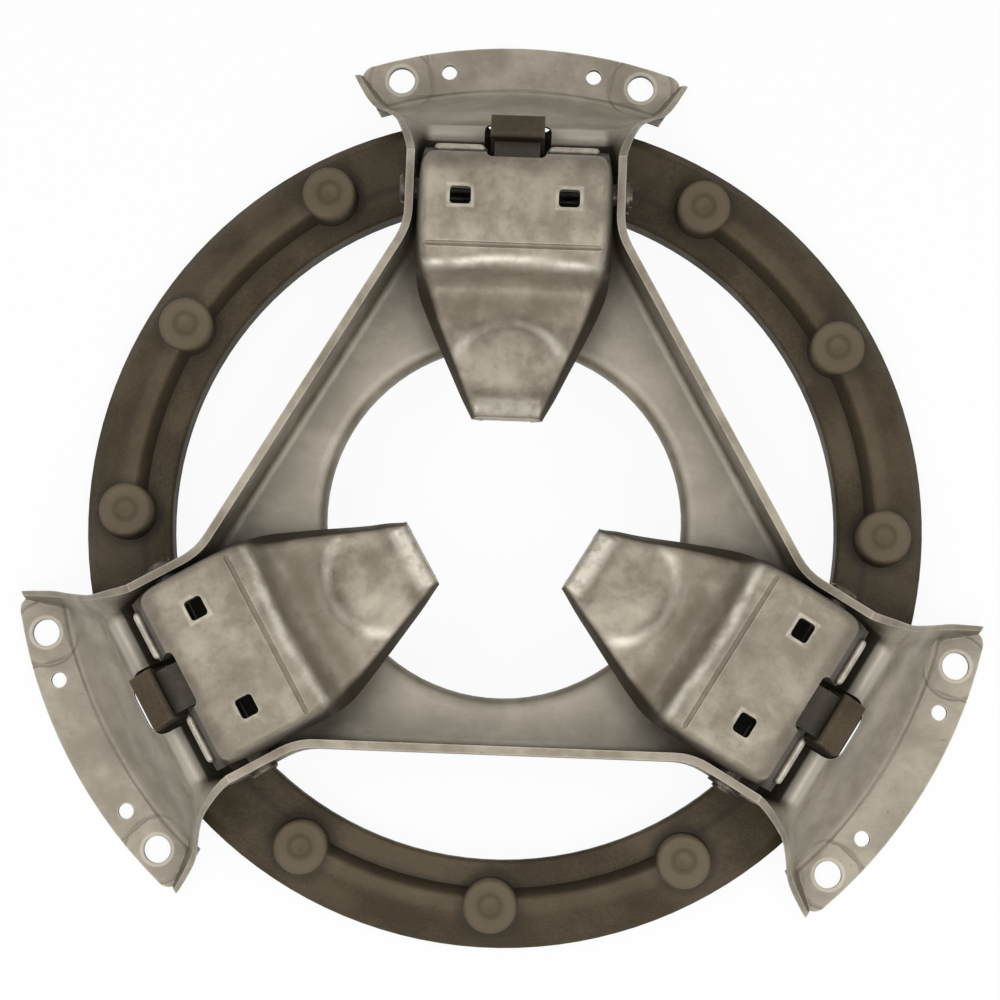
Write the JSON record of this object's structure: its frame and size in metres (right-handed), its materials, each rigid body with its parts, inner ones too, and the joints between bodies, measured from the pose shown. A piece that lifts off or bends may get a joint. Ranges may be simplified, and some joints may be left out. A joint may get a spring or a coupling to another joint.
{
  "type": "clutch pressure plate",
  "caption": "Clutch pressure plate: a pressed steel tray on bolting ears carries a cast pressure ring, pivoted release levers and their coil springs.",
  "frame": {"origin": "on the clutch axis, in the plane of the ear faces that meet the flywheel", "axes": "+Z along the clutch axis towards the gearbox, +Y along the arm of lever 1"},
  "size_m": [0.3054, 0.288, 0.0643],
  "materials": {
    "cover_steel": "bright rolled steel, pressed, lightly oiled",
    "cast_ring": "dark cast iron with a machined friction face",
    "lever_steel": "bright pressed steel, edges sheared",
    "pin_steel": "turned steel",
    "clip_steel": "blued spring steel",
    "spring_steel": "oiled spring steel wire",
    "cup_steel": "pressed steel"
  },
  "bodies": {
    "cover": {"cover_pressing": "cover_steel", "spring_cup_1": "cup_steel", "spring_cup_2": "cup_steel", "spring_cup_3": "cup_steel", "pivot_pin_1": "pin_steel", "pivot_pin_2": "pin_steel", "pivot_pin_3": "pin_steel", "pin_clip_1": "clip_steel", "pin_clip_2": "clip_steel", "pin_clip_3": "clip_steel", "pressure_spring_1": "spring_steel", "pressure_spring_2": "spring_steel", "pressure_spring_3": "spring_steel"},
    "ring": {"pressure_ring": "cast_ring"},
    "lever_1": {"release_lever_1": "lever_steel", "spring_seat_1": "cup_steel"},
    "lever_2": {"release_lever_2": "lever_steel", "spring_seat_2": "cup_steel"},
    "lever_3": {"release_lever_3": "lever_steel", "spring_seat_3": "cup_steel"}
  },
  "joints": [
    {"name": "ring_slide", "type": "slide", "parent": "cover", "child": "ring", "axis": [0, 0, 1], "range_m": [0, 0.004], "stiffness_N_per_m": 5000, "springref_m": -0.002, "deforming": ["pressure_spring_1", "pressure_spring_2", "pressure_spring_3"]},
    {"name": "lever_pivot_1", "type": "hinge", "parent": "cover", "child": "lever_1", "pos_m": [0, 0.0994, 0.046], "axis": [1, 0, 0], "range_deg": [0, 13.2]},
    {"name": "lever_pivot_2", "type": "hinge", "parent": "cover", "child": "lever_2", "pos_m": [-0.08608, -0.0497, 0.046], "axis": [-0.5, 0.866, 0], "range_deg": [0, 13.2]},
    {"name": "lever_pivot_3", "type": "hinge", "parent": "cover", "child": "lever_3", "pos_m": [0.08608, -0.0497, 0.046], "axis": [-0.5, -0.866, 0], "range_deg": [0, 13.2]}
  ],
  "couplings": [
    {"joint": "lever_pivot_1", "follows": "ring_slide", "rad_per_m": 57.471},
    {"joint": "lever_pivot_2", "follows": "ring_slide", "rad_per_m": 57.471},
    {"joint": "lever_pivot_3", "follows": "ring_slide", "rad_per_m": 57.471}
  ]
}
